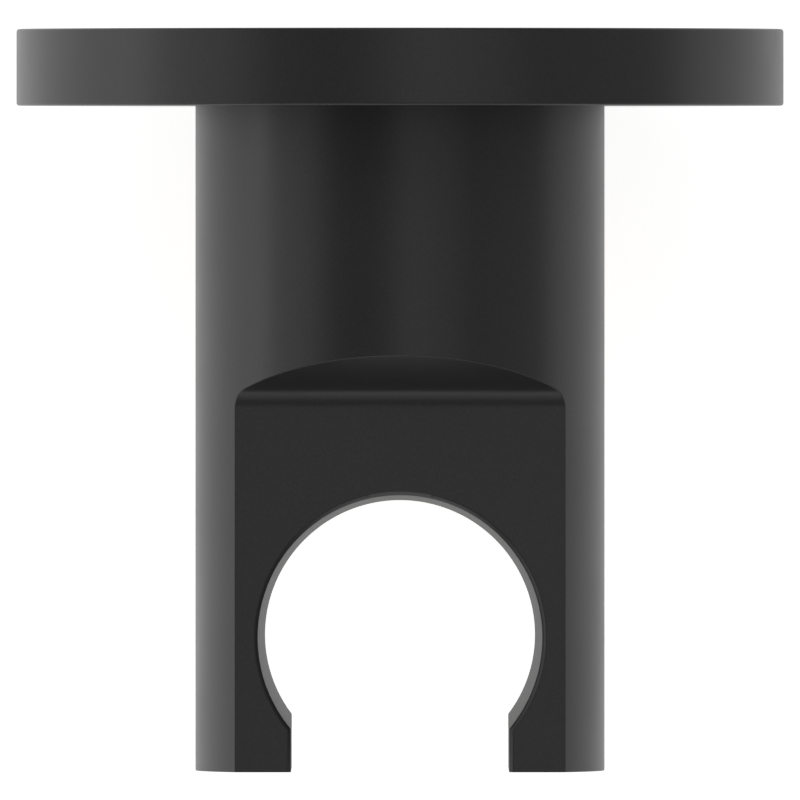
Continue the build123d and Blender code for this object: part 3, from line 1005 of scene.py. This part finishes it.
def cage_sleeve():
    """Sleeve with the valve seat, a ring groove and the guide's pocket."""
    profile = rounded([
        (ORIFICE_RADIUS, CAGE_TOP, SOFT_EDGE),
        (CAGE_RADIUS, CAGE_TOP, SOFT_EDGE),
        *reversed(groove("valve_cage_o_ring", DOWN_OUTLET, CAGE_RADIUS)),
        (CAGE_RADIUS, LEDGE_DROP, EDGE_RADIUS),
        (GUIDE_RADIUS + GAP, LEDGE_DROP, EDGE_RADIUS),
        (GUIDE_RADIUS + GAP, GUIDE_TOP, 0),
        (CAGE_BORE_RADIUS, GUIDE_TOP, 0),
        (CAGE_BORE_RADIUS, ORIFICE_END + CAGE_BORE_RADIUS - ORIFICE_RADIUS, 0),
        (ORIFICE_RADIUS, ORIFICE_END, EDGE_RADIUS),
    ])
    return object_from("cage_sleeve", turned(profile, DOWN_OUTLET, segments=INNER_SEGMENTS))


def poppet_lip():
    """Rubber ring whose bevelled lip closes on the seat."""
    profile = rounded([
        (POPPET_GROOVE_RADIUS + GAP, SEAL_TOP, 0),
        (SEAL_RADIUS - SEAL_LIP, SEAL_TOP, EDGE_RADIUS),
        (SEAL_RADIUS, SEAL_TOP + SEAL_LIP, EDGE_RADIUS),
        (SEAL_RADIUS, SEAL_END, EDGE_RADIUS),
        (POPPET_GROOVE_RADIUS + GAP, SEAL_END, 0),
    ])
    return object_from("poppet_lip", turned(profile, DOWN_OUTLET, segments=INNER_SEGMENTS))


def poppet_plug():
    """Poppet: nose, seal groove, head, spring boss and guide stem."""
    profile = rounded([
        (0, POPPET_TOP, 0),
        (NOSE_RADIUS, POPPET_TOP, SOFTEST_EDGE),
        (NOSE_RADIUS, SEAL_TOP - GAP, 0),
        (POPPET_GROOVE_RADIUS, SEAL_TOP - GAP, 0),
        (POPPET_GROOVE_RADIUS, SEAL_END + GAP, 0),
        (SEAL_RADIUS, SEAL_END + GAP, EDGE_RADIUS),
        (SEAL_RADIUS, HEAD_END, SOFT_EDGE),
        (BOSS_RADIUS, HEAD_END, 0),
        (BOSS_RADIUS, HEAD_END + BOSS_HEIGHT, SOFT_EDGE),
        (STEM_RADIUS, HEAD_END + BOSS_HEIGHT, 0),
        (STEM_RADIUS, POPPET_END, SOFTER_EDGE),
        (0, POPPET_END, 0),
    ])
    skin = turned(profile, DOWN_OUTLET, closed=False, segments=SCREW_SEGMENTS)
    return object_from("poppet_plug", skin)


def window_outline(index):
    """Loop of the opening between two ribs: along the rim and back along the hub."""
    sector = 2 * math.pi / GUIDE_RIBS
    middle = math.pi / 2 + sector * (index + 0.5)
    outline = []
    for radius, way in ((GUIDE_RIM_RADIUS, 1), (GUIDE_HUB_RADIUS, -1)):
        reach = sector / 2 - math.asin(GUIDE_RIB_WIDTH / 2 / radius)
        for step in range(WINDOW_STEPS + 1):
            angle = middle + way * reach * (2 * step / WINDOW_STEPS - 1)
            outline.append((radius * math.cos(angle), radius * math.sin(angle)))
    return outline


def guide_spider():
    """Rim and hub joined by three ribs, softened at the rim and at the stem's hole."""
    hole = STEM_RADIUS + STEM_GAP
    profile = rounded([
        (hole, GUIDE_TOP, EDGE_RADIUS),
        (GUIDE_RADIUS, GUIDE_TOP, EDGE_RADIUS),
        (GUIDE_RADIUS, GUIDE_END, EDGE_RADIUS),
        (hole, GUIDE_END, EDGE_RADIUS),
    ])
    spider = object_from("guide_spider", turned(profile, DOWN_OUTLET, segments=INNER_SEGMENTS))
    ends = (GUIDE_TOP - CUT_MARGIN, GUIDE_END + CUT_MARGIN)
    for index in range(GUIDE_RIBS):
        combine(spider, prism(window_outline(index), DOWN_OUTLET, ends), "DIFFERENCE")
    return spider


def wire_ring(share):
    """Points round the spring's wire at a share of its way up. Both ends are ground flat."""
    length = SPRING_HIGH.z - SPRING_LOW.z
    turn = 2 * math.pi * SPRING_COILS * share
    rise = length * (share + eased(share)) / 2
    points = []
    for side in range(SPRING_SIDES):
        around = 2 * math.pi * side / SPRING_SIDES
        radius = SPRING_RADIUS + SPRING_WIRE / 2 * math.cos(around)
        height = clamp(rise + SPRING_WIRE / 2 * math.sin(around), 0, length)
        across = radius * math.sin(turn) - OUTLET_REACH
        points.append((radius * math.cos(turn), across, SPRING_LOW.z + height))
    return points


def return_spring():
    """Round wire spring with close turns at both ends."""
    bm = bmesh.new()
    count = int(SPRING_COILS * SPRING_STEPS)
    rings = [[bm.verts.new(point) for point in wire_ring(step / count)] for step in range(count + 1)]
    for near, far in zip(rings, rings[1:]):
        for side in range(SPRING_SIDES):
            bm.faces.new((near[side - 1], near[side], far[side], far[side - 1]))
    bm.faces.new(rings[0])
    bm.faces.new(rings[-1])
    bmesh.ops.recalc_face_normals(bm, faces=bm.faces)
    return object_from("return_spring", bm)


finish_piece(cage_sleeve(), "holder", "valve_cage", "valve_plastic")
finish_piece(guide_spider(), "holder", "valve_guide", "valve_plastic")
finish_piece(poppet_plug(), "poppet", "valve_poppet", "poppet_plastic")
finish_piece(poppet_lip(), "poppet", "poppet_seal", "seal_rubber")
spring = finish_piece(return_spring(), "holder", "valve_spring", "stainless")
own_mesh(spring)


# Camera: far above and looking down, so that the view is nearly parallel as in the photo
FRAME_WIDTH = 62.58 * MM
FRAME_CENTRE = Vector((0, -29.02 * MM, 0))
CAMERA_REACH = 11 * MM
LENS = 1700.0
SENSOR = 36.0
CAMERA_CLIP = 20.0


def add_camera():
    """Camera that frames the object as the photo does."""
    data = bpy.data.cameras.new("camera")
    data.lens = LENS
    data.sensor_width = SENSOR
    data.clip_end = CAMERA_CLIP
    camera = bpy.data.objects.new("camera", data)
    camera.location = (0, -CAMERA_REACH, FRAME_WIDTH * LENS / SENSOR)
    camera.rotation_euler.x = math.atan2(FRAME_CENTRE.y - camera.location.y, camera.location.z)
    bpy.context.scene.collection.objects.link(camera)
    bpy.context.scene.camera = camera


add_camera()


# Floor: its light for the camera, and for reflections on the left and on the right, where 1 is white
FLOOR_GAP = 0.5 * MM
FLOOR_HALF = 4.0
FLOOR_COLOUR = (0.8, 0.8, 0.8, 1)
FLOOR_ROUGHNESS = 0.9
FLOOR_GLOW = 0.8
FLOOR_LEFT = 0.78
FLOOR_RIGHT = 0.52
FLOOR_BLEND = 160 * MM


def floor_light(nodes):
    """Light of the floor itself: even for the camera, brighter to the left for reflections."""
    place = nodes.part_of(nodes.coordinates(), "X")
    sides = nodes.remap(place, (-FLOOR_BLEND, FLOOR_BLEND), (FLOOR_LEFT, FLOOR_RIGHT), "SMOOTHSTEP")
    for_camera = nodes.calculate("MULTIPLY", nodes.camera_ray(), FLOOR_GLOW)
    light = nodes.add("ShaderNodeEmission")
    strength = nodes.calculate("MULTIPLY_ADD", nodes.reflected_ray(), sides, for_camera)
    nodes.link(strength, light.inputs["Strength"])
    return light.outputs["Emission"]


def floor_material():
    """Plain pale floor that keeps the object's shadow. From below it is clear."""
    nodes = new_material("pale_floor")
    nodes.shader.inputs["Base Color"].default_value = FLOOR_COLOUR
    nodes.shader.inputs["Roughness"].default_value = FLOOR_ROUGHNESS
    lit = nodes.add("ShaderNodeAddShader")
    nodes.link(nodes.shader.outputs["BSDF"], lit.inputs[0])
    nodes.link(floor_light(nodes), lit.inputs[1])
    clear = nodes.add("ShaderNodeBsdfTransparent")
    from_below = nodes.add("ShaderNodeNewGeometry").outputs["Backfacing"]
    nodes.show(nodes.blend(from_below, lit.outputs["Shader"], clear.outputs["BSDF"]))
    return nodes.owner


def add_floor():
    """Floor just under the object."""
    bm = bmesh.new()
    bmesh.ops.create_grid(bm, size=FLOOR_HALF)
    floor = object_from("floor", bm)
    floor.location.z = cad_low.z - FLOOR_GAP
    floor.data.materials.append(floor_material())


add_floor()


# Light

SOFTBOX_DISTANCE = 1.5
# Name, azimuth and elevation in degrees, width and height in metres, and brightness, where 1 is white
SOFTBOXES = (
    ("left_strip", -90, 6, 2.4, 0.3, 1.75),
    ("left_box", -90, 31, 2.0, 0.75, 0.66),
    ("top_box", 90, 84, 0.9, 0.45, 0.63),
    ("top_right_box", 90, 64, 1.1, 0.55, 0.4),
    ("right_box", 90, 26, 2.0, 1.0, 0.2),
    ("front_strip", 0, 10, 2.0, 0.6, 0.75),
    ("front_box", 0, 33, 1.6, 0.5, 0.42),
    ("back_box", 180, 62, 1.0, 0.5, 1.04),
)
ROOM_GREY = (0.2, 0.2, 0.2, 1)
WHITE = (1, 1, 1, 1)
HORIZON = 0


def softbox(name, azimuth, elevation, width, height, brightness):
    """Rectangular softbox that faces the object."""
    data = bpy.data.lights.new(name, "AREA")
    data.shape = "RECTANGLE"
    data.size = width
    data.size_y = height
    data.energy = brightness * math.pi * width * height
    lamp = bpy.data.objects.new(name, data)
    turn = math.radians(azimuth)
    rise = math.radians(elevation)
    level = Vector((math.sin(turn), -math.cos(turn), 0)) * math.cos(rise)
    away = level + Vector((0, 0, math.sin(rise)))
    lamp.location = FRAME_CENTRE + away * SOFTBOX_DISTANCE
    lamp.rotation_mode = "QUATERNION"
    lamp.rotation_quaternion = (-away).to_track_quat("-Z", "Y")
    lamp.visible_camera = False
    bpy.context.scene.collection.objects.link(lamp)


def studio():
    """Grey room, past the floor white for the camera, and below the horizon for reflections too."""
    nodes = Nodes(bpy.data.worlds.new("studio"))
    nodes.shader.inputs["Color"].default_value = ROOM_GREY
    white = nodes.add("ShaderNodeBackground")
    white.inputs["Color"].default_value = WHITE
    rise = nodes.part_of(nodes.coordinates("Generated"), "Z")
    below = nodes.calculate("LESS_THAN", rise, HORIZON)
    past_floor = nodes.calculate("MULTIPLY", nodes.reflected_ray(), below)
    seen = nodes.calculate("MAXIMUM", nodes.camera_ray(), past_floor)
    nodes.show(nodes.blend(seen, nodes.shader.outputs["Background"], white.outputs["Background"]))
    return nodes.owner


for box in SOFTBOXES:
    softbox(*box)
bpy.context.scene.world = studio()
bpy.context.scene.view_settings.view_transform = "Standard"
